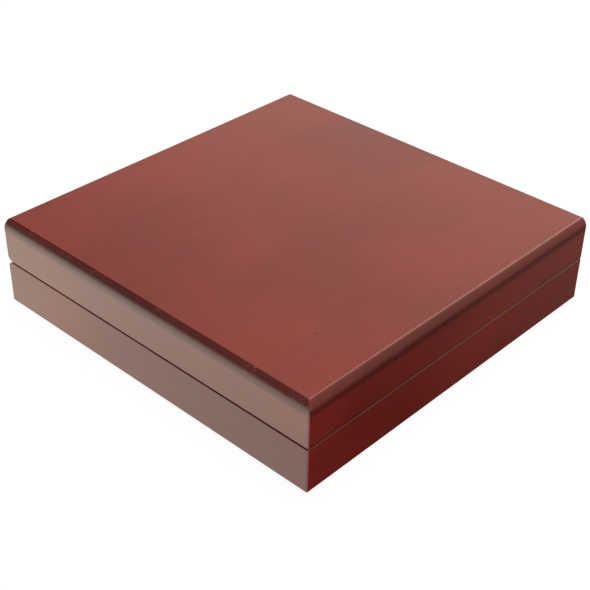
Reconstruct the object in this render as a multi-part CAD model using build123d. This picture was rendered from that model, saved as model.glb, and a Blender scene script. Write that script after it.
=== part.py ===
from build123d import *
import os

# Necklace box: a square, shallow wooden case with a hinged lid.
# Millimetres, +Z up, front of the box towards -Y, hinges along the +Y side.
# The origin is the centre of the underside, on the face of the felt.

# The wooden case
box_side = 184.0
base_height = 21.5
lid_height = 21.8
joint_gap = 0.2
wall = 11.0
corner_radius = 0.8
lip_radius = 0.7
bottom_edge_radius = 0.6
bottom_back_radius = 2.0

# The edge round the top of the lid is a long arc that leaves the side smoothly
# and meets the top at an eased crease
top_panel_thickness = 8.0
top_round_in = 1.9
top_round_down = 6.6
top_crease_radius = 1.2

# Both edges of the joint are rounded along the back, which gives the lid room to swing
groove_lid_radius = 4.3
groove_base_radius = 4.0

# The floor of the box
felt_thickness = 0.8
felt_inset = 2.5
bottom_panel_thickness = 3.0
rabbet_depth = 5.5
panel_play = 0.2

# Lining boards round the inside walls
liner_thickness = 1.6
liner_setback = 1.2
liner_edge_radius = 0.6

# The padded insert in the base and the padded panel in the lid
insert_play = 0.4
cover_thickness = 0.8
pad_board_thickness = 2.0
pad_foam_thickness = 8.0
pad_edge_radius = 3.8
lid_board_thickness = 1.5
lid_foam_thickness = 4.2
lid_pad_edge_radius = 3.2

# Slits in the insert that hold the two sides of a chain
slit_length = 18.0
slit_width = 1.6
slit_depth = 5.0
slit_x = 46.0
slit_y = 50.0
slit_turn = 45.0

# Ribbon tab that lifts the insert out
ribbon_width = 12.0
ribbon_length = 17.0
ribbon_thickness = 0.8
ribbon_lift = 0.1

# Magnets let into the front rails
magnet_radius = 3.0
magnet_thickness = 3.0
magnet_x = 62.0

# Butt hinges, with the pin set in from the back face
hinge_x = 56.0
hinge_length = 24.0
hinge_inset = 2.3
knuckle_count = 5
knuckle_gap = 0.1
barrel_radius = 1.5
barrel_clearance = 0.25
leaf_thickness = 0.9
leaf_reach = 6.6
mortise_play = 0.1
pin_radius = 0.7
pin_play = 0.05
pin_chamfer = 0.2
bore_overrun = 1.0

# Countersunk hinge screws
screw_x = 7.4
screw_reach = 4.1
screw_head_radius = 1.5
screw_shank_radius = 0.8
screw_shank_length = 5.5
screw_tip_length = 1.6
screw_tip_radius = 0.15
screw_slot_width = 0.4
screw_slot_depth = 0.45

# Heights and places that follow from the sizes above
half = box_side / 2
inner_half = half - wall
joint_z = felt_thickness + base_height
base_rim = joint_z - joint_gap / 2
lid_rim = joint_z + joint_gap / 2
box_top = joint_z + lid_height
panel_underside = box_top - top_panel_thickness
floor_z = felt_thickness + bottom_panel_thickness
rabbet_half = inner_half + rabbet_depth
insert_half = inner_half - liner_thickness - insert_play
hinge_y = half - hinge_inset
front_rail_middle = half - wall / 2


def block(x_range, y_range, z_range):
    """A plain box between two corners."""
    size = [high - low for low, high in (x_range, y_range, z_range)]
    middle = [(high + low) / 2 for low, high in (x_range, y_range, z_range)]
    return Pos(*middle) * Box(*size)


def square_block(half_side, z_range):
    """A plain square box about the Z axis."""
    return block((-half_side, half_side), (-half_side, half_side), z_range)


def prism(section, plane):
    """A cross-section drawn on a plane, pulled through the whole box both ways."""
    return extrude(plane * section, amount=box_side, both=True)


def rounded_column(height):
    """The plan of the box, with its upright corners eased."""
    return extrude(RectangleRounded(box_side, box_side, corner_radius), amount=height)


def cylinder_along_x(radius, x_range, y, z):
    """A round bar lying along X."""
    length = x_range[1] - x_range[0]
    middle = (x_range[0] + x_range[1]) / 2
    return Pos(middle, y, z) * Rot(0, 90, 0) * Cylinder(radius, length)


def four_rails(ring):
    """Cut a square ring into front, right, back and left rails with mitred ends."""
    triangle = Polyline((0, 0), (-box_side, -box_side), (box_side, -box_side), close=True)
    wedge = extrude(make_face(triangle), amount=box_top)
    sides = ("front", "right", "back", "left")
    return {side: ring & (Rot(0, 0, 90 * turn) * wedge) for turn, side in enumerate(sides)}


def base_ring():
    """The wooden walls of the base, before they are cut into rails."""
    low = felt_thickness
    corners = ((-half, low), (-half, base_rim), (half, base_rim), (half, low))
    across = FilletPolyline(
        *corners,
        radius=[bottom_edge_radius, lip_radius, lip_radius, bottom_edge_radius],
        close=True,
    )
    along = FilletPolyline(
        *corners,
        radius=[bottom_edge_radius, lip_radius, groove_base_radius, bottom_back_radius],
        close=True,
    )
    ring = prism(make_face(across), Plane.XZ) & prism(make_face(along), Plane.YZ) & rounded_column(box_top)
    ring -= square_block(inner_half, (0, box_top))
    ring -= square_block(rabbet_half, (0, floor_z))
    return ring


def lid_ring():
    """The wooden walls of the lid below its top panel, before they are cut into rails."""
    high = panel_underside
    across = FilletPolyline(
        (-half, lid_rim), (-half, high), (half, high), (half, lid_rim),
        radius=[lip_radius, 0, 0, lip_radius],
        close=True,
    )
    along = FilletPolyline(
        (-half, lid_rim), (-half, high), (half, high), (half, lid_rim),
        radius=[lip_radius, 0, 0, groove_lid_radius],
        close=True,
    )
    ring = prism(make_face(across), Plane.XZ) & prism(make_face(along), Plane.YZ) & rounded_column(box_top)
    return ring - square_block(inner_half, (0, box_top))


def lid_top_panel():
    """The lid's top board, with the long rounded edge on all four sides."""
    shoulder = box_top - top_round_down
    flat = half - top_round_in
    outline = Curve() + [
        Line((-half, panel_underside), (half, panel_underside)),
        Line((half, panel_underside), (half, shoulder)),
        TangentArc((half, shoulder), (flat, box_top), tangent=(0, 1)),
        Line((flat, box_top), (-flat, box_top)),
        TangentArc((-half, shoulder), (-flat, box_top), tangent=(0, 1)),
        Line((-half, shoulder), (-half, panel_underside)),
    ]
    creases = make_face(outline).vertices().group_by(Axis.Y)[-1]
    section = fillet(creases, top_crease_radius)
    return prism(section, Plane.XZ) & prism(section, Plane.YZ) & rounded_column(box_top)


def hinge_span(centre):
    """The hinge's two ends along X."""
    return centre - hinge_length / 2, centre + hinge_length / 2


def knuckle_spans(centre):
    """The ends of each knuckle along X, with a working gap between neighbours."""
    start = hinge_span(centre)[0]
    pitch = hinge_length / knuckle_count
    return [
        (start + index * pitch + knuckle_gap, start + (index + 1) * pitch - knuckle_gap)
        for index in range(knuckle_count)
    ]


def widened(span, amount):
    """A span along X with both ends moved outwards."""
    return span[0] - amount, span[1] + amount


def screw_blank(x, side):
    """A hinge screw with no slot; side is -1 in the base and +1 in the lid."""
    neck = leaf_thickness
    tip = neck + screw_shank_length
    profile = Polyline(
        (0, 0), (screw_head_radius, 0), (screw_shank_radius, neck), (screw_shank_radius, tip),
        (screw_tip_radius, tip + screw_tip_length), (0, tip + screw_tip_length),
        close=True,
    )
    body = revolve(Plane.XZ * make_face(profile), Axis.Z)
    turn = Rot(180, 0, 0) if side < 0 else Rot(0, 0, 0)
    return Pos(x, hinge_y - screw_reach, joint_z + side * joint_gap / 2) * turn * body


def screw(x, side):
    """A hinge screw with a slot across its head."""
    y = hinge_y - screw_reach
    face = joint_z + side * joint_gap / 2
    z_range = sorted((face, face + side * screw_slot_depth))
    slot = block(
        (x - screw_head_radius, x + screw_head_radius),
        (y - screw_slot_width / 2, y + screw_slot_width / 2),
        z_range,
    )
    return screw_blank(x, side) - slot


def screw_places():
    """The screws' places along X, two to each leaf."""
    return [centre + offset for centre in (-hinge_x, hinge_x) for offset in (-screw_x, screw_x)]


def hinge_leaf(centre, side):
    """One leaf with its knuckles; side is -1 for the base and +1 for the lid."""
    first = 0 if side < 0 else 1
    spans = knuckle_spans(centre)
    z_range = sorted((joint_z + side * joint_gap / 2, joint_z + side * (joint_gap / 2 + leaf_thickness)))
    leaf = block(hinge_span(centre), (hinge_y - leaf_reach, hinge_y), z_range)
    swing = barrel_radius + barrel_clearance
    for span in spans[1 - first::2]:
        leaf -= cylinder_along_x(swing, widened(span, 2 * knuckle_gap), hinge_y, joint_z)
    for span in spans[first::2]:
        leaf += cylinder_along_x(barrel_radius, span, hinge_y, joint_z)
    bore = pin_radius if side < 0 else pin_radius + pin_play
    leaf -= cylinder_along_x(bore, widened(hinge_span(centre), bore_overrun), hinge_y, joint_z)
    for x in (centre - screw_x, centre + screw_x):
        leaf -= screw_blank(x, side)
    return leaf


def hinge_pocket(centre, side):
    """What is cut from a back rail for a leaf, its barrel and its two screws."""
    z_range = sorted((joint_z, joint_z + side * (joint_gap / 2 + leaf_thickness)))
    leaf_room = block(
        widened(hinge_span(centre), mortise_play),
        (hinge_y - leaf_reach - mortise_play, hinge_y),
        z_range,
    )
    span = widened(hinge_span(centre), barrel_clearance)
    pocket = leaf_room + cylinder_along_x(barrel_radius + barrel_clearance, span, hinge_y, joint_z)
    for x in (centre - screw_x, centre + screw_x):
        pocket += screw_blank(x, side)
    return pocket


def hinge_pin(centre):
    """The pin, held by the base leaf's knuckles and turning in the lid leaf's."""
    pin = cylinder_along_x(pin_radius, hinge_span(centre), hinge_y, joint_z)
    return chamfer(pin.edges().filter_by(GeomType.CIRCLE), pin_chamfer)


def magnet(x, side):
    """A disc magnet, flush with the rim of a front rail."""
    face = joint_z + side * joint_gap / 2
    return Pos(x, -front_rail_middle, face + side * magnet_thickness / 2) * Cylinder(
        magnet_radius, magnet_thickness
    )


def magnets(side):
    """Both magnets of one half of the box."""
    return [magnet(x, side) for x in (-magnet_x, magnet_x)]


def liner(turn, z_range):
    """A thin lining board on one inside wall, with its exposed edge eased."""
    across = turn % 180 == 0
    reach = inner_half - liner_thickness if across else inner_half
    board = block((-reach, reach), (-inner_half, -inner_half + liner_thickness), z_range)
    rim = min(board.edges().filter_by(Axis.X), key=lambda e: (abs(e.center().Z - joint_z), -e.center().Y))
    return Rot(0, 0, turn) * fillet(rim, liner_edge_radius)


def liners(z_range):
    """The four lining boards of one half of the box."""
    turns = {"front": 0, "right": 90, "back": 180, "left": 270}
    return {side: liner(turn, z_range) for side, turn in turns.items()}


def cushion(half_side, back_z, face_z, edge_radius):
    """A square soft pad whose face edges and upright corners are rounded."""
    pad = square_block(half_side, sorted((back_z, face_z)))
    pad = fillet(pad.edges().filter_by(Axis.Z), edge_radius)
    face_edges = [edge for edge in pad.edges() if abs(edge.center().Z - face_z) < edge_radius / 10]
    return fillet(face_edges, edge_radius - liner_edge_radius)


def padded_panel(back_z, direction, foam_thickness, edge_radius):
    """Foam and the cover stretched over it, facing up (1) or down (-1)."""
    foam_face = back_z + direction * foam_thickness
    cover_face = foam_face + direction * cover_thickness
    foam = cushion(insert_half - cover_thickness, back_z, foam_face, edge_radius - cover_thickness)
    cover = cushion(insert_half, back_z, cover_face, edge_radius) - foam
    return foam, cover, cover_face


def chain_slits(face_z):
    """The two slanting slits, near the back corners of the insert."""
    cuts = Part()
    for side in (-1, 1):
        place = Pos(side * slit_x, slit_y, face_z) * Rot(0, 0, -side * slit_turn)
        cuts += place * Box(slit_length, slit_width, 2 * slit_depth)
    return cuts


def lift_ribbon(face_z):
    """A flat ribbon tab lying on the front of the insert."""
    low = face_z + ribbon_lift
    front = -insert_half + pad_edge_radius
    tab = block(
        (-ribbon_width / 2, ribbon_width / 2),
        (front, front + ribbon_length),
        (low, low + ribbon_thickness),
    )
    return tab


def base_parts():
    """Every piece that stays with the base."""
    ring = base_ring()
    screws = [screw(x, -1) for x in screw_places()]
    for centre in (-hinge_x, hinge_x):
        ring -= hinge_pocket(centre, -1)
    for disc in magnets(-1):
        ring -= disc
    board_top = floor_z + pad_board_thickness
    foam, cover, pad_face = padded_panel(board_top, 1, pad_foam_thickness, pad_edge_radius)
    slits = chain_slits(pad_face)
    parts = {f"base_{side}_rail": rail for side, rail in four_rails(ring).items()}
    parts["base_bottom_panel"] = square_block(rabbet_half - panel_play, (felt_thickness, floor_z))
    parts["bottom_felt"] = square_block(half - felt_inset, (0, felt_thickness))
    for side, board in liners((floor_z, base_rim - liner_setback)).items():
        parts[f"base_{side}_liner"] = board
    parts["pad_board"] = square_block(insert_half, (floor_z, board_top))
    parts["pad_foam"] = foam - slits
    parts["pad_cover"] = cover - slits
    parts["pad_lift_ribbon"] = lift_ribbon(pad_face)
    parts["base_magnets"] = Compound(children=magnets(-1))
    parts["left_hinge_base_leaf"] = hinge_leaf(-hinge_x, -1)
    parts["right_hinge_base_leaf"] = hinge_leaf(hinge_x, -1)
    parts["left_hinge_pin"] = hinge_pin(-hinge_x)
    parts["right_hinge_pin"] = hinge_pin(hinge_x)
    parts["base_hinge_screws"] = Compound(children=screws)
    return parts


def lid_parts():
    """Every piece that swings with the lid."""
    ring = lid_ring()
    screws = [screw(x, 1) for x in screw_places()]
    for centre in (-hinge_x, hinge_x):
        ring -= hinge_pocket(centre, 1)
    for disc in magnets(1):
        ring -= disc
    board_low = panel_underside - lid_board_thickness
    foam, cover, _ = padded_panel(board_low, -1, lid_foam_thickness, lid_pad_edge_radius)
    parts = {"lid_top_panel": lid_top_panel()}
    for side, rail in four_rails(ring).items():
        parts[f"lid_{side}_rail"] = rail
    for side, board in liners((lid_rim + liner_setback, panel_underside)).items():
        parts[f"lid_{side}_liner"] = board
    parts["lid_pad_board"] = square_block(insert_half, (board_low, panel_underside))
    parts["lid_pad_foam"] = foam
    parts["lid_pad_cover"] = cover
    parts["lid_magnets"] = Compound(children=magnets(1))
    parts["left_hinge_lid_leaf"] = hinge_leaf(-hinge_x, 1)
    parts["right_hinge_lid_leaf"] = hinge_leaf(hinge_x, 1)
    parts["lid_hinge_screws"] = Compound(children=screws)
    return parts


os.makedirs("parts", exist_ok=True)
for name, shape in {**base_parts(), **lid_parts()}.items():
    export_step(shape, f"parts/{name}.step")
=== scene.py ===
import math

import bmesh
import bpy
from mathutils import Matrix, Vector


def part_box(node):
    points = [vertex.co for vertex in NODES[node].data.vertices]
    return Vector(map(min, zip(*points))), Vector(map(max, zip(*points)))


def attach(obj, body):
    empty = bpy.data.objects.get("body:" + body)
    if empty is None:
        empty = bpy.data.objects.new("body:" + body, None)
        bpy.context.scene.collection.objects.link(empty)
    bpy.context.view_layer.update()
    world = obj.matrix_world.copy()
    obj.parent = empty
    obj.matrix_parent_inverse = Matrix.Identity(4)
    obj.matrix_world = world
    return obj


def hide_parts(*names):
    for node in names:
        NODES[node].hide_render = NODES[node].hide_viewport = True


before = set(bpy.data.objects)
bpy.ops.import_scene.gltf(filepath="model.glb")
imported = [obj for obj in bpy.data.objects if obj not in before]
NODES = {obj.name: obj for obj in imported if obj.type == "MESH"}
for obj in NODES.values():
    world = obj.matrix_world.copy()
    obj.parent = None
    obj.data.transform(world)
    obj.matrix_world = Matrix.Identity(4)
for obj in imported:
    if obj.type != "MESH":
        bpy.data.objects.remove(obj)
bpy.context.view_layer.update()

# Sizes in metres, read from the frame where it holds them
MM = 0.001
TOP_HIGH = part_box("lid_top_panel")[1]
BOX_HALF = TOP_HIGH.x
BOX_TOP = TOP_HIGH.z
LID_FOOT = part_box("lid_front_rail")[0].z
INSERT_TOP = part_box("pad_cover")[1].z

# How far in and down the rounded edge round the lid's top reaches
EDGE_IN = 2.6 * MM
EDGE_DOWN = 6.6 * MM

# The camera, solved from the box's edges in the picture, with its angles in radians
CAMERA_PLACE = Vector((-349.0, -321.0, 327.3)) * MM
CAMERA_YAW = -0.82593
CAMERA_PITCH = 0.60071
CAMERA_ROLL = 0.01867
FOCAL_PIXELS = 1242.3
PICTURE_PIXELS = 590
SENSOR_WIDTH = 36.0


# Shader sockets that ordinary arithmetic works on

# Which output of its node holds the generated coordinates, the object ones and a mixed colour
GENERATED_OUTPUT = 0
OBJECT_OUTPUT = 3
COLOUR_OUTPUT = 2


class Wire:
    """An output socket of a shader node, for use in expressions."""

    def __init__(self, nodes, socket):
        self.nodes = nodes
        self.socket = socket

    def maths(self, operation, first, second):
        settings = {"operation": operation}
        return self.nodes.node("ShaderNodeMath", settings, {0: first, 1: second})

    def __add__(self, other):
        return self.maths("ADD", self, other)

    def __radd__(self, other):
        return self.maths("ADD", other, self)

    def __sub__(self, other):
        return self.maths("SUBTRACT", self, other)

    def __rsub__(self, other):
        return self.maths("SUBTRACT", other, self)

    def __mul__(self, other):
        return self.maths("MULTIPLY", self, other)

    def __rmul__(self, other):
        return self.maths("MULTIPLY", other, self)

    def __pow__(self, other):
        return self.maths("POWER", self, other)

    def __abs__(self):
        return self.maths("ABSOLUTE", self, 0.0)

    def larger(self, other):
        return self.maths("MAXIMUM", self, other)


class Nodes:
    """Builds the nodes of one material, or of the world."""

    def __init__(self, tree):
        self.tree = tree
        tree.nodes.clear()

    def node(self, kind, settings=None, sockets=None, output=0):
        """Makes a node: its settings first, then the values or links of its sockets."""
        made = self.tree.nodes.new(kind)
        for key, value in (settings or {}).items():
            setattr(made, key, value)
        for key, value in (sockets or {}).items():
            if isinstance(value, Wire):
                self.tree.links.new(value.socket, made.inputs[key])
            else:
                made.inputs[key].default_value = value
        return Wire(self, made.outputs[output]) if made.outputs else None

    def split(self, vector):
        """The three numbers of a vector."""
        made = self.node("ShaderNodeSeparateXYZ", None, {0: vector})
        return [Wire(self, socket) for socket in made.socket.node.outputs]

    def rise(self, value, low, high):
        """Smoothly from 0 at low to 1 at high."""
        sockets = {"Value": value, "From Min": low, "From Max": high}
        if low > high:
            sockets = {"Value": value, "From Min": high, "From Max": low, "To Min": 1.0, "To Max": 0.0}
        return self.node("ShaderNodeMapRange", {"interpolation_type": "SMOOTHSTEP"}, sockets)

    def blend(self, factor, first, second):
        """One colour to another by a factor."""
        sockets = {0: factor, 6: first, 7: second}
        return self.node("ShaderNodeMix", {"data_type": "RGBA"}, sockets, COLOUR_OUTPUT)

    def scaled(self, colour, factor):
        """A colour made lighter or darker."""
        return self.node("ShaderNodeVectorMath", {"operation": "SCALE"}, {0: colour, "Scale": factor})

    def spot(self):
        """The three coordinates of a place on the piece, in metres."""
        return self.split(self.node("ShaderNodeTexCoord", None, None, OBJECT_OUTPUT))

    def places(self, stretch=(1, 1, 1)):
        """The piece's own coordinates in metres, stretched for a pattern."""
        spot = self.node("ShaderNodeTexCoord", None, None, OBJECT_OUTPUT)
        return self.node("ShaderNodeMapping", None, {"Vector": spot, "Scale": stretch})

    def noise(self, places, scale, detail=3.0, roughness=0.5, distortion=0.0):
        """Soft noise from 0 to 1."""
        sockets = {
            "Vector": places, "Scale": scale, "Detail": detail,
            "Roughness": roughness, "Distortion": distortion,
        }
        return self.node("ShaderNodeTexNoise", None, sockets)

    def bump(self, height, distance, strength=1.0):
        """Surface relief from a height."""
        sockets = {"Height": height, "Distance": distance, "Strength": strength}
        return self.node("ShaderNodeBump", None, sockets)


def finish_of(name, build):
    """A material whose surface is what build returns for its Principled sockets."""
    material = bpy.data.materials.new(name)
    material.use_nodes = True
    nodes = Nodes(material.node_tree)
    surface = nodes.node("ShaderNodeBsdfPrincipled", None, build(nodes))
    nodes.node("ShaderNodeOutputMaterial", None, {"Surface": surface})
    return material


# Finishes

WOOD_DEEP = (0.156, 0.0048, 0.0018, 1)
WOOD_LIGHT = (0.212, 0.0094, 0.0040, 1)
FLECK_COLOUR = (0.42, 0.26, 0.20, 1)

# The base has a weaker coat than the lid, which paints its reflections dimmer as painted shade
BASE_SHADED_COAT = 0.86

# How much darker the wood is made on the two side edges round the lid's top, low on its front and back
# edges, and over the whole of those, partly by darker stain and partly by painted shade; and, all painted
# shade, under its lower lip and towards a base side's front end
SIDE_EDGE_STAIN_AND_SHADE = 0.48
LOW_EDGE_STAIN_AND_SHADE = 0.34
FRONT_EDGE_STAIN_AND_SHADE = 0.20
UNDER_LIP_SHADE = 0.9
BASE_END_SHADE = 0.24
BASE_END_SPAN = (45 * MM, -80 * MM)

# Where the painted shade line under that lip fades, inwards from the lid's side and upwards from its foot
LIP_FADE_IN = (0.65 * MM, 0.45 * MM)
LIP_FADE_UP = (0.85 * MM, 0.6 * MM)

# A pinhead knot in the lid's top
KNOT_PLACE = (-58.5 * MM, -64.8 * MM)
KNOT_RADIUS = 0.6 * MM
KNOT_STAIN = 0.8

# The shares by which coordinates shrink along the grain, which draws the pattern out that way
GRAIN_SHARE = 0.045
CLOUD_SHARE = 0.7


def stain_and_painted_shade(nodes, run, half):
    """The share of its middle's lightness that each place of a piece keeps under its stain and painted
    shade.

    run is 0 for a piece with its grain along X, as at the front and back, and 1 for one along Y.
    """
    x, y, z = nodes.spot()
    if half == "base":
        # Painted shade: a base side darkens towards its front end
        return 1.0 - BASE_END_SHADE * run * nodes.rise(y, *BASE_END_SPAN)
    inwards = BOX_HALF - abs(x).larger(abs(y))
    down = BOX_TOP - z
    inside = nodes.rise(inwards, EDGE_IN * 1.05, EDGE_IN * 0.85)
    above = nodes.rise(down, EDGE_DOWN * 1.08, EDGE_DOWN * 0.80)
    low = nodes.rise(down, EDGE_DOWN * 0.5, EDGE_DOWN * 0.85)
    low = low * nodes.rise(down, EDGE_DOWN * 1.2, EDGE_DOWN)
    # The rounded edge is darkened partly by darker stain and partly by painted shade, which makes the two
    # sides darker than the front and back
    at_side = nodes.rise(abs(x) - abs(y), -0.5 * MM, 0.5 * MM)
    front_edge = LOW_EDGE_STAIN_AND_SHADE * low + FRONT_EDGE_STAIN_AND_SHADE * above
    edge = inside * (SIDE_EDGE_STAIN_AND_SHADE * above * at_side + front_edge * (1.0 - at_side))
    # Painted shade: a dark line along the lid's lower lip, standing in for the shadow in the gap over the
    # base
    lip = nodes.rise(inwards, *LIP_FADE_IN) * nodes.rise(z - LID_FOOT, *LIP_FADE_UP)
    under_lip = (1 - run) * UNDER_LIP_SHADE * lip
    off_knot = ((x - KNOT_PLACE[0]) ** 2.0 + (y - KNOT_PLACE[1]) ** 2.0) ** 0.5
    knot = KNOT_STAIN * nodes.rise(off_knot, KNOT_RADIUS * 1.5, KNOT_RADIUS * 0.6)
    return (1.0 - edge) * (1.0 - under_lip) * (1.0 - knot)


def edge_flecks(nodes, half):
    """1 on the pinhead pale flecks scattered along the lid's two side edges, and 0 elsewhere."""
    if half == "base":
        return 0.0
    x, y, z = nodes.spot()
    at_side = nodes.rise(abs(x), BOX_HALF - EDGE_IN, BOX_HALF - 0.8 * EDGE_IN)
    upper = nodes.rise(z, BOX_TOP - 0.75 * EDGE_DOWN, BOX_TOP - 0.55 * EDGE_DOWN)
    patches = nodes.rise(nodes.noise(nodes.places(), 75.0, 1.0), 0.52, 0.60)
    points = nodes.rise(nodes.noise(nodes.places(), 1700.0, 1.0), 0.64, 0.70)
    return at_side * upper * patches * points


def lacquered_wood(run, half, coat=1.0):
    """Stained wood under satin lacquer, with its grain along axis number run, and painted shade at some
    edges.
    """

    def drawn_out(share):
        return [share if axis == run else 1.0 for axis in range(3)]

    def build(nodes):
        grain_places = nodes.places(stretch=drawn_out(GRAIN_SHARE))
        streaks = nodes.noise(grain_places, 520.0, 4.0, 0.6, 0.25)
        figure = nodes.noise(grain_places, 150.0, 3.0, 0.55, 0.6)
        clouds = nodes.noise(nodes.places(stretch=drawn_out(CLOUD_SHARE)), 17.0, 3.0, 0.5)
        pores = nodes.rise(nodes.noise(grain_places, 1500.0, 2.0, 0.5), 0.67, 0.76)
        tone = 0.17 * streaks + 0.16 * figure + 0.67 * clouds
        stained = nodes.blend(nodes.rise(tone, 0.36, 0.64), WOOD_DEEP, WOOD_LIGHT)
        stained = nodes.blend(edge_flecks(nodes, half), stained, FLECK_COLOUR)
        shade = (1.0 - 0.10 * pores) * stain_and_painted_shade(nodes, run, half)
        peel = nodes.noise(nodes.places(), 900.0, 2.0, 0.5)
        relief = 0.6 * peel + 0.4 * streaks
        return {
            "Base Color": nodes.scaled(stained, shade),
            "Roughness": 0.40 + 0.12 * clouds,
            "Specular IOR Level": 0.1,
            "Coat Weight": coat,
            "Coat Roughness": 0.22,
            "Coat IOR": 1.6,
            "Normal": nodes.bump(relief, 0.00002),
        }

    return finish_of(f"lacquered {half} wood along {'xy'[run]}", build)


def bare_plywood():
    """Sanded plywood, hidden between the felt and the insert."""

    def build(nodes):
        grain = nodes.noise(nodes.places(stretch=(0.05, 1, 1)), 300.0, 3.0)
        return {
            "Base Color": nodes.blend(grain, (0.42, 0.27, 0.14, 1), (0.62, 0.45, 0.27, 1)),
            "Roughness": 0.7,
            "Normal": nodes.bump(grain, 0.0001),
        }

    return finish_of("bare plywood", build)


SUEDE_DEEP = (0.56, 0.47, 0.35, 1)
SUEDE_LIGHT = (0.80, 0.71, 0.57, 1)

# The slits lie this near the middle of the insert, and are painted this much darker below its top, as
# painted shade down the slits
SLIT_ZONE = 72 * MM
SLIT_SHADE = 0.72
SLIT_FADE_DOWN = (0.4 * MM, 1.2 * MM)


def suede_cloth():
    """Short-napped suede cloth in warm ivory, with painted shade where it turns down into the insert's
    slits.
    """

    def build(nodes):
        x, y, z = nodes.spot()
        within = nodes.rise(abs(x).larger(abs(y)), SLIT_ZONE, SLIT_ZONE - 2 * MM)
        deep = nodes.rise(INSERT_TOP - z, *SLIT_FADE_DOWN)
        # Painted shade down the insert's slits
        shade = 1.0 - SLIT_SHADE * within * deep
        nap = nodes.noise(nodes.places(), 2600.0, 3.0, 0.7)
        brushed = nodes.noise(nodes.places(stretch=(1, 0.6, 1)), 60.0, 3.0, 0.6, 0.8)
        tone = 0.55 * nap + 0.45 * brushed
        return {
            "Base Color": nodes.scaled(nodes.blend(tone, SUEDE_DEEP, SUEDE_LIGHT), shade),
            "Roughness": 0.88 + 0.1 * nap,
            "Sheen Weight": 0.35,
            "Sheen Roughness": 0.5,
            "Normal": nodes.bump(nap, 0.00025, 0.7),
        }

    return finish_of("suede cloth", build)


def satin_cloth(name, deep, light):
    """Satin with fine warp threads and a soft lustre."""

    def build(nodes):
        threads = nodes.noise(nodes.places(stretch=(1, 0.02, 1)), 5200.0, 2.0, 0.6)
        folds = nodes.noise(nodes.places(), 40.0, 2.0)
        return {
            "Base Color": nodes.blend(0.6 * threads + 0.4 * folds, deep, light),
            "Roughness": 0.34 + 0.14 * threads,
            "Sheen Weight": 0.25,
            "Sheen Roughness": 0.35,
            "Normal": nodes.bump(threads, 0.00006, 0.6),
        }

    return finish_of(name, build)


def felt_cloth():
    """Black pressed felt with pale stray fibres."""

    def build(nodes):
        fuzz = nodes.noise(nodes.places(), 3200.0, 4.0, 0.75)
        fibres = nodes.noise(nodes.places(stretch=(1, 0.25, 1)), 1400.0, 3.0, 0.6, 1.5)
        tone = 0.35 * nodes.rise(fibres, 0.66, 0.78) + 0.5 * fuzz
        return {
            "Base Color": nodes.blend(tone, (0.006, 0.006, 0.007, 1), (0.075, 0.072, 0.07, 1)),
            "Roughness": 0.95,
            "Sheen Weight": 0.3,
            "Normal": nodes.bump(fuzz, 0.0004, 0.8),
        }

    return finish_of("felt cloth", build)


def grey_board():
    """Plain grey pressed board."""

    def build(nodes):
        flecks = nodes.noise(nodes.places(), 1500.0, 3.0, 0.7)
        return {
            "Base Color": nodes.blend(flecks, (0.25, 0.23, 0.2, 1), (0.42, 0.39, 0.35, 1)),
            "Roughness": 0.85,
            "Normal": nodes.bump(flecks, 0.0001),
        }

    return finish_of("grey board", build)


def plated_metal(name, dull, bright, roughness):
    """Plated metal, faintly brushed along X and a little tarnished."""

    def build(nodes):
        brushed = nodes.noise(nodes.places(stretch=(0.03, 1, 1)), 6000.0, 2.0, 0.6)
        tarnish = nodes.noise(nodes.places(), 350.0, 3.0, 0.6)
        return {
            "Base Color": nodes.blend(nodes.rise(tarnish, 0.3, 0.7), dull, bright),
            "Metallic": 1.0,
            "Roughness": roughness + 0.15 * tarnish + 0.08 * brushed,
            "Normal": nodes.bump(brushed, 0.00002, 0.5),
        }

    return finish_of(name, build)


# Soft pieces

# Closer than this, two heights are one
TINY = 0.1 * MM


def solid_from(shape, name, material, smooth=True):
    """A mesh object made from a bmesh, which is then let go."""
    mesh = bpy.data.meshes.new(name)
    shape.to_mesh(mesh)
    shape.free()
    for face in mesh.polygons:
        face.use_smooth = smooth
    piece = bpy.data.objects.new(name, mesh)
    bpy.context.scene.collection.objects.link(piece)
    mesh.materials.append(material)
    return piece


def cube_between(low, high):
    """A bmesh cube between two corners."""
    shape = bmesh.new()
    bmesh.ops.create_cube(shape, size=1.0)
    size = high - low
    middle = (high + low) / 2
    place = Matrix.Translation(middle) @ Matrix.Diagonal((*size, 1))
    bmesh.ops.transform(shape, matrix=place, verts=shape.verts)
    return shape


def upright_edges(shape):
    """The edges of a bmesh block that stand upright."""
    return [e for e in shape.edges if abs(e.verts[0].co.z - e.verts[1].co.z) > TINY]


def edges_at(shape, height):
    """The edges of a bmesh that lie at one height."""
    return [e for e in shape.edges if all(abs(v.co.z - height) < TINY for v in e.verts)]


def rounded(shape, edges, radius, segments):
    """Rounds some edges of a bmesh."""
    bmesh.ops.bevel(
        shape, geom=edges, offset=radius, offset_type="OFFSET", segments=segments,
        profile=0.5, affect="EDGES", clamp_overlap=True, material=-1,
    )


def apply_modifiers(piece):
    """Turns a piece's modifiers into its mesh."""
    graph = bpy.context.evaluated_depsgraph_get()
    graph.update()
    made = bpy.data.meshes.new_from_object(piece.evaluated_get(graph))
    old = piece.data
    piece.modifiers.clear()
    piece.data = made
    bpy.data.meshes.remove(old)


def remesh(piece, voxel):
    """Even quads over the whole of a closed piece."""
    change = piece.modifiers.new("voxels", "REMESH")
    change.mode = "VOXEL"
    change.voxel_size = voxel
    change.use_smooth_shade = True
    apply_modifiers(piece)


INFLATE_FRAMES = 20
INFLATE_PRESSURE = 4.0


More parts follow.
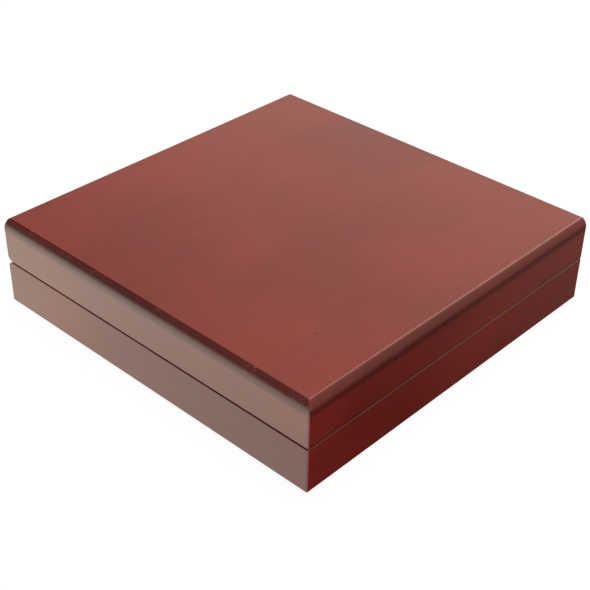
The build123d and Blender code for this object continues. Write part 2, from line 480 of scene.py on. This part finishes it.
def inflate(piece, furthest):
    """Lets a closed cloth shell swell under pressure, with no point moving further than furthest."""
    start = [vertex.co.copy() for vertex in piece.data.vertices]
    scene = bpy.context.scene
    cloth = piece.modifiers.new("cloth", "CLOTH")
    cloth.settings.use_pressure = True
    cloth.settings.uniform_pressure_force = INFLATE_PRESSURE
    cloth.settings.effector_weights.gravity = 0.0
    cloth.point_cache.frame_start = 1
    cloth.point_cache.frame_end = INFLATE_FRAMES
    for step in range(1, INFLATE_FRAMES + 1):
        scene.frame_set(step)
    apply_modifiers(piece)
    scene.frame_set(1)
    for vertex, origin in zip(piece.data.vertices, start):
        move = vertex.co - origin
        if move.length > furthest:
            vertex.co = origin + move * (furthest / move.length)


def subdivided(piece):
    """One smoothing subdivision, made part of the mesh."""
    change = piece.modifiers.new("smooth", "SUBSURF")
    change.levels = 1
    change.render_levels = 1
    apply_modifiers(piece)
    for face in piece.data.polygons:
        face.use_smooth = True


PAD_VOXEL = 2.4 * MM
PAD_INSET = 0.5 * MM
PAD_RIM_SHARE = 0.85

# How far in from a pad's rim its pleats fade, and how fast they come and go, in radians to the metre
PLEAT_REACH = 9 * MM
PLEAT_TURN = 900
PLEAT_DRIFT = 210
FINE_PLEAT_TURN = 1510


def pad_block(name, low, high, material, facing, corner, puff):
    """A block with round corners and a round rim, short of its space by the room that it swells into."""
    start_low = low + Vector((PAD_INSET, PAD_INSET, 0.0 if facing > 0 else puff))
    start_high = high - Vector((PAD_INSET, PAD_INSET, puff if facing > 0 else 0.0))
    shape = cube_between(start_low, start_high)
    rounded(shape, upright_edges(shape), corner, 5)
    rim = edges_at(shape, start_high.z if facing > 0 else start_low.z)
    rounded(shape, rim, corner * PAD_RIM_SHARE, 5)
    return solid_from(shape, name, material)


def crown_and_pleat(piece, low, high, facing, crown, pleats):
    """Raises a pad's middle, ripples its rim and keeps it inside its space."""
    back_z = low.z if facing > 0 else high.z
    half = (high.x - low.x) / 2
    for vertex in piece.data.vertices:
        spot = vertex.co
        lift = (spot.z - back_z) * facing
        share = min(1.0, max(0.0, lift / (high.z - low.z)))
        across = max(0.0, 1 - (spot.x / half) ** 2) * max(0.0, 1 - (spot.y / half) ** 2)
        rise = crown * across * share
        edge = half - max(abs(spot.x), abs(spot.y))
        run = spot.y if abs(spot.x) > abs(spot.y) else spot.x
        fade = math.exp(-max(0.0, edge) / PLEAT_REACH) * share
        wobble = math.sin(run * PLEAT_TURN + 3 * math.sin(run * PLEAT_DRIFT))
        wobble += 0.6 * math.sin(run * FINE_PLEAT_TURN + 1.3)
        spot.z += facing * (rise + pleats * fade * wobble)
        if lift < 0:
            spot.z = back_z
        spot.x = max(low.x, min(high.x, spot.x))
        spot.y = max(low.y, min(high.y, spot.y))


def soft_pad(name, node, material, facing, corner, puff, crown, pleats):
    """A padded panel in the space of its CAD cover: facing is 1 for up and -1 for down."""
    low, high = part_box(node)
    piece = pad_block(name, low, high, material, facing, corner, puff)
    remesh(piece, PAD_VOXEL)
    inflate(piece, puff)
    subdivided(piece)
    crown_and_pleat(piece, low, high, facing, crown, pleats)
    return piece


SLIT_PLACE = Vector((46.0, 50.0)) * MM
SLIT_LENGTH = 18 * MM
SLIT_WIDTH = 1.6 * MM
SLIT_DEPTH = 4.5 * MM
SLIT_TURN = math.radians(45)


def slit_box(side):
    """The room of one slanting slit in the insert."""
    shape = bmesh.new()
    bmesh.ops.create_cube(shape, size=1.0)
    size = Matrix.Diagonal((SLIT_LENGTH, SLIT_WIDTH, 2 * SLIT_DEPTH, 1))
    turn = Matrix.Rotation(-side * SLIT_TURN, 4, "Z")
    place = Matrix.Translation((side * SLIT_PLACE.x, SLIT_PLACE.y, INSERT_TOP))
    bmesh.ops.transform(shape, matrix=place @ turn @ size, verts=shape.verts)
    return shape


def cut_slits(piece):
    """Cuts the two slits through a finished cover."""
    for side in (-1, 1):
        cutter = solid_from(slit_box(side), "slit", piece.data.materials[0], smooth=False)
        change = piece.modifiers.new("slit", "BOOLEAN")
        change.operation = "DIFFERENCE"
        change.object = cutter
        change.solver = "EXACT"
        apply_modifiers(piece)
        bpy.data.objects.remove(cutter)
    for face in piece.data.polygons:
        face.use_smooth = True


LINING_RIM = 0.7 * MM
LINING_ENDS = 0.15 * MM


def wrapped_board(node, name, material, rim_up):
    """A lining board with cloth drawn over its exposed edge."""
    low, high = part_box(node)
    shape = cube_between(low, high)
    rim = edges_at(shape, high.z if rim_up else low.z)
    rounded(shape, rim, LINING_RIM, 4)
    piece = solid_from(shape, name, material)
    corners = piece.modifiers.new("soft ends", "BEVEL")
    corners.width = LINING_ENDS
    corners.segments = 2
    apply_modifiers(piece)
    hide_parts(node)
    return piece


RIBBON_WIDTH = 12 * MM
RIBBON_THICKNESS = 0.35 * MM
RIBBON_STEPS = 6


def ribbon_route():
    """The ribbon's places in Y and Z: up beside the insert's front, back along it, and folded forward."""
    low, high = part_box("pad_lift_ribbon")
    foot = low.y - 3.4 * MM
    return [
        (foot, INSERT_TOP - 6.0 * MM), (foot, INSERT_TOP - 2.0 * MM), (foot + 1.1 * MM, low.z - 0.4 * MM),
        (low.y + 1.5 * MM, low.z + 0.25 * MM), (low.y + 9 * MM, low.z + 0.9 * MM),
        (high.y - 1.2 * MM, low.z + 0.75 * MM), (high.y, low.z + 1.25 * MM),
        (high.y - 1.2 * MM, low.z + 1.75 * MM), (low.y + 9 * MM, low.z + 1.6 * MM),
        (low.y + 2.5 * MM, low.z + 1.0 * MM),
    ]


def smooth_line(route):
    """A bmesh chain of edges along a smooth curve that follows a route in Y and Z."""
    curve = bpy.data.curves.new("ribbon route", "CURVE")
    curve.dimensions = "3D"
    line = curve.splines.new("NURBS")
    line.points.add(len(route) - 1)
    for point, (y, z) in zip(line.points, route):
        point.co = (0.0, y, z, 1.0)
    line.order_u = 3
    line.use_endpoint_u = True
    line.resolution_u = 6
    holder = bpy.data.objects.new("ribbon route", curve)
    bpy.context.scene.collection.objects.link(holder)
    drawn = bpy.data.meshes.new_from_object(holder)
    shape = bmesh.new()
    shape.from_mesh(drawn)
    bpy.data.objects.remove(holder)
    bpy.data.meshes.remove(drawn)
    return shape


def draw_out(shape, width, steps):
    """Draws a chain of edges out along X into a strip."""
    reach = list(shape.edges)
    for _ in range(steps):
        made = bmesh.ops.extrude_edge_only(shape, edges=reach)["geom"]
        moved = [g for g in made if isinstance(g, bmesh.types.BMVert)]
        bmesh.ops.translate(shape, vec=(width / steps, 0, 0), verts=moved)
        ends = set(moved)
        reach = [g for g in made if isinstance(g, bmesh.types.BMEdge) and set(g.verts) <= ends]
    bmesh.ops.recalc_face_normals(shape, faces=shape.faces)


def lift_ribbon(material):
    """A ribbon loop that comes up beside the insert and lies folded on it."""
    shape = smooth_line(ribbon_route())
    start = Matrix.Translation((-RIBBON_WIDTH / 2, 0, 0))
    bmesh.ops.transform(shape, matrix=start, verts=shape.verts)
    draw_out(shape, RIBBON_WIDTH, RIBBON_STEPS)
    piece = solid_from(shape, "ribbon_tab", material)
    thick = piece.modifiers.new("thickness", "SOLIDIFY")
    thick.thickness = RIBBON_THICKNESS
    thick.offset = 0.0
    apply_modifiers(piece)
    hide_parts("pad_lift_ribbon")
    return piece


FELT_CORNER = 2.0 * MM
FELT_RIM = 0.25 * MM


def underside_felt(material):
    """The felt sheet glued under the base, with a slightly soft edge."""
    low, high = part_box("bottom_felt")
    shape = cube_between(low, high)
    rounded(shape, upright_edges(shape), FELT_CORNER, 5)
    rounded(shape, edges_at(shape, low.z), FELT_RIM, 2)
    piece = solid_from(shape, "underside_felt", material, smooth=False)
    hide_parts("bottom_felt")
    return piece


# Light, floor and camera

def soft_light(name, place, aim, size, watts, colour=(1.0, 1.0, 1.0)):
    """A studio softbox, of a width and a height, pointed at a spot."""
    lamp = bpy.data.lights.new(name, "AREA")
    lamp.color = colour
    lamp.shape = "RECTANGLE"
    lamp.size, lamp.size_y = size
    lamp.energy = watts
    holder = bpy.data.objects.new(name, lamp)
    bpy.context.scene.collection.objects.link(holder)
    holder.location = place
    holder.rotation_mode = "QUATERNION"
    holder.rotation_quaternion = (Vector(aim) - Vector(place)).to_track_quat("-Z", "Y")


# How bright each part of the studio is, where 1 is white paper in the picture
DOME = 0.02
LEFT_WALL = 0.32
RIGHT_GLOW = 0.92
UPPER_GLOW = 0.42
FRONT_FLOOR = 0.17
FRONT_GLOW = 0.72
LEFT_CARD = 1.65
FRONT_CARD = 0.35
FLOOR_GLOW = 0.95
WARM_WHITE = (1.0, 0.98, 0.82, 1)

# The two lamps
LAMP_AIM = (0, 0, 0.03)
OVERHEAD_WATTS = 11.2
STRIP_WATTS = 6.0
STRIP_COLOUR = (1.0, 0.80, 0.66)

# The floor lies just under the felt, and the glowing cards just over the floor
FLOOR_SIZE = 6.0
FLOOR_DROP = 0.1 * MM
CARD_LENGTH = 1.2
CARD_LIFT = 0.2 * MM

# The cards are this much dimmer close to the box and towards its front
CARD_SHADE = 0.16
CARD_SHADE_OUT = (34 * MM, 12 * MM)
CARD_SHADE_FRONT = (90 * MM, 20 * MM)

# Where each card fades in and out, in distance from the box
LEFT_CARD_SPANS = ((-0.5 * MM, 1 * MM), (90 * MM, 190 * MM))
FRONT_CARD_SPANS = ((50 * MM, 110 * MM), (500 * MM, 700 * MM))


def studio_world():
    """A dim studio, brighter low beyond the box on the right and softly bright above it there."""
    world = bpy.data.worlds.new("studio")
    bpy.context.scene.world = world
    world.use_nodes = True
    nodes = Nodes(world.node_tree)
    x, y, z = nodes.split(nodes.node("ShaderNodeTexCoord", None, None, GENERATED_OUTPUT))
    above = nodes.rise(z, -0.05, 0.10)
    left_wall = nodes.rise(x, -0.1, -0.5) * above * nodes.rise(z, 0.75, 0.3)
    right_glow = nodes.rise(0.94 * x + 0.34 * y, 0.45, 1.0) * above * nodes.rise(z, 0.8, 0.3)
    upper_glow = nodes.rise(0.52 * x + 0.33 * y + 0.79 * z, 0.80, 1.0)
    front_floor = nodes.rise(x, 0.6, 0.8) * nodes.rise(z, 0.0, -0.2)
    front_glow = nodes.rise(0.63 * x - 0.77 * y, 0.55, 0.85) * nodes.rise(z, -0.20, 0.12)
    light = (
        DOME * above + LEFT_WALL * left_wall + RIGHT_GLOW * right_glow
        + UPPER_GLOW * upper_glow + FRONT_FLOOR * front_floor
        + FRONT_GLOW * front_glow * nodes.rise(z, 0.80, 0.50)
    )
    background = nodes.node("ShaderNodeBackground", None, {"Color": WARM_WHITE, "Strength": light})
    nodes.node("ShaderNodeOutputWorld", None, {"Surface": background})


def studio_lamps():
    """A softbox overhead and a long weaker one high on the right."""
    soft_light("overhead", (0.0, 0.10, 1.20), LAMP_AIM, (0.6, 0.6), OVERHEAD_WATTS)
    soft_light("right strip", (0.85, -0.15, 0.85), LAMP_AIM, (0.8, 0.9), STRIP_WATTS, STRIP_COLOUR)


def pale_floor():
    """A plain pale floor, kept out of the lacquer's reflections."""
    shape = bmesh.new()
    bmesh.ops.create_grid(shape, x_segments=1, y_segments=1, size=FLOOR_SIZE / 2)
    bmesh.ops.translate(shape, vec=(0, 0, -FLOOR_DROP), verts=shape.verts)

    def build(nodes):
        return {
            "Base Color": (0.08, 0.08, 0.08, 1),
            "Roughness": 1.0,
            "Specular IOR Level": 0.0,
            "Emission Color": (1, 1, 1, 1),
            "Emission Strength": FLOOR_GLOW,
        }

    floor = solid_from(shape, "floor", finish_of("pale floor", build), smooth=False)
    floor.visible_glossy = False


def glow_card(name, middle, size, across, spans, brightness):
    """A glowing sheet on the floor, seen only as its reflection in the lacquer.

    Along axis number across it fades in over the first span and out over the second.
    """
    shape = bmesh.new()
    bmesh.ops.create_grid(shape, x_segments=1, y_segments=1, size=0.5)
    place = Matrix.Translation((*middle, CARD_LIFT)) @ Matrix.Diagonal((*size, 1, 1))
    bmesh.ops.transform(shape, matrix=place, verts=shape.verts)
    material = bpy.data.materials.new(name)
    material.use_nodes = True
    nodes = Nodes(material.node_tree)
    spot = nodes.spot()
    outwards = -BOX_HALF - spot[across]
    (start, full), (fading, end) = spans
    strength = brightness * nodes.rise(outwards, start, full) * nodes.rise(outwards, end, fading)
    shaded = nodes.rise(outwards, *CARD_SHADE_OUT) * nodes.rise(spot[1], *CARD_SHADE_FRONT)
    strength = strength * (1.0 - CARD_SHADE * shaded)
    glow = nodes.node("ShaderNodeEmission", None, {"Color": WARM_WHITE, "Strength": strength})
    nodes.node("ShaderNodeOutputMaterial", None, {"Surface": glow})
    card = solid_from(shape, name, material, smooth=False)
    card.visible_camera = False
    card.visible_diffuse = False
    card.visible_shadow = False


def floor_cards():
    """A bright sheet close along the left side and a dim one farther out in front."""
    near, far = LEFT_CARD_SPANS[0][0], LEFT_CARD_SPANS[1][1]
    left_middle = (-BOX_HALF - (near + far) / 2, CARD_LENGTH / 4)
    glow_card("left card", left_middle, (far - near, CARD_LENGTH), 0, LEFT_CARD_SPANS, LEFT_CARD)
    near, far = FRONT_CARD_SPANS[0][0], FRONT_CARD_SPANS[1][1]
    front_middle = (CARD_LENGTH / 4, -BOX_HALF - (near + far) / 2)
    glow_card("front card", front_middle, (CARD_LENGTH, far - near), 1, FRONT_CARD_SPANS, FRONT_CARD)


def photo_camera():
    """The camera at the picture's place, with its turn and tilt."""
    ahead = Vector((-math.sin(CAMERA_YAW), math.cos(CAMERA_YAW), 0.0))
    right = Vector((math.cos(CAMERA_YAW), math.sin(CAMERA_YAW), 0.0))
    up = Vector((0.0, 0.0, 1.0))
    forward = ahead * math.cos(CAMERA_PITCH) - up * math.sin(CAMERA_PITCH)
    upward = ahead * math.sin(CAMERA_PITCH) + up * math.cos(CAMERA_PITCH)
    rolled_right = right * math.cos(CAMERA_ROLL) + upward * math.sin(CAMERA_ROLL)
    rolled_up = upward * math.cos(CAMERA_ROLL) - right * math.sin(CAMERA_ROLL)
    lens = bpy.data.cameras.new("camera")
    lens.sensor_width = SENSOR_WIDTH
    lens.lens = FOCAL_PIXELS / PICTURE_PIXELS * SENSOR_WIDTH
    lens.clip_start = 0.01
    lens.clip_end = 20.0
    camera = bpy.data.objects.new("camera", lens)
    bpy.context.scene.collection.objects.link(camera)
    turn = Matrix((rolled_right, rolled_up, -forward)).transposed()
    camera.matrix_world = Matrix.Translation(CAMERA_PLACE) @ turn.to_4x4()
    bpy.context.scene.camera = camera


# The box

def repaint(node, material):
    """Gives a CAD node a finish."""
    for slot in NODES[node].material_slots:
        slot.material = material


def finish_cad_nodes():
    """Finishes the pieces that keep their CAD shape."""
    lid_x, lid_y = lacquered_wood(0, "lid"), lacquered_wood(1, "lid")
    # The base's weaker coat is painted shade: its reflections come out dimmer than the lid's
    base_x, base_y = lacquered_wood(0, "base", BASE_SHADED_COAT), lacquered_wood(1, "base", BASE_SHADED_COAT)
    brass = plated_metal("plated brass", (0.55, 0.36, 0.13, 1), (0.86, 0.64, 0.31, 1), 0.2)
    nickel = plated_metal("nickel plate", (0.5, 0.49, 0.47, 1), (0.75, 0.74, 0.72, 1), 0.16)
    board = grey_board()
    for half, along_x, along_y in (("base", base_x, base_y), ("lid", lid_x, lid_y)):
        for side in ("front", "back"):
            repaint(f"{half}_{side}_rail", along_x)
        for side in ("left", "right"):
            repaint(f"{half}_{side}_rail", along_y)
            repaint(f"{side}_hinge_{half}_leaf", brass)
        repaint(f"{half}_magnets", nickel)
        repaint(f"{half}_hinge_screws", brass)
    for side in ("left", "right"):
        repaint(f"{side}_hinge_pin", brass)
    repaint("lid_top_panel", lid_x)
    repaint("base_bottom_panel", bare_plywood())
    repaint("pad_board", board)
    repaint("lid_pad_board", board)


def line_the_box():
    """The soft pieces: insert, lid padding, lining boards, ribbon and felt."""
    suede = suede_cloth()
    satin = satin_cloth("ivory satin", (0.62, 0.54, 0.43, 1), (0.83, 0.76, 0.64, 1))
    ribbon_satin = satin_cloth("ribbon satin", (0.42, 0.32, 0.20, 1), (0.62, 0.50, 0.34, 1))
    insert = soft_pad(
        "insert_cover", "pad_cover", suede, facing=1,
        corner=3.6 * MM, puff=0.8 * MM, crown=0.5 * MM, pleats=0.03 * MM,
    )
    cut_slits(insert)
    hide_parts("pad_cover", "pad_foam")
    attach(insert, "base")
    padding = soft_pad(
        "lid_satin", "lid_pad_cover", satin, facing=-1,
        corner=3.0 * MM, puff=1.2 * MM, crown=0.8 * MM, pleats=0.09 * MM,
    )
    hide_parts("lid_pad_cover", "lid_pad_foam")
    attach(padding, "lid")
    for side in ("front", "right", "back", "left"):
        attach(wrapped_board(f"base_{side}_liner", f"base_{side}_lining", suede, True), "base")
        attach(wrapped_board(f"lid_{side}_liner", f"lid_{side}_lining", suede, False), "lid")
    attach(lift_ribbon(ribbon_satin), "base")
    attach(underside_felt(felt_cloth()), "base")


finish_cad_nodes()
line_the_box()
studio_world()
pale_floor()
floor_cards()
studio_lamps()
photo_camera()
bpy.context.scene.view_settings.view_transform = "Standard"
bpy.context.scene.view_settings.look = "None"
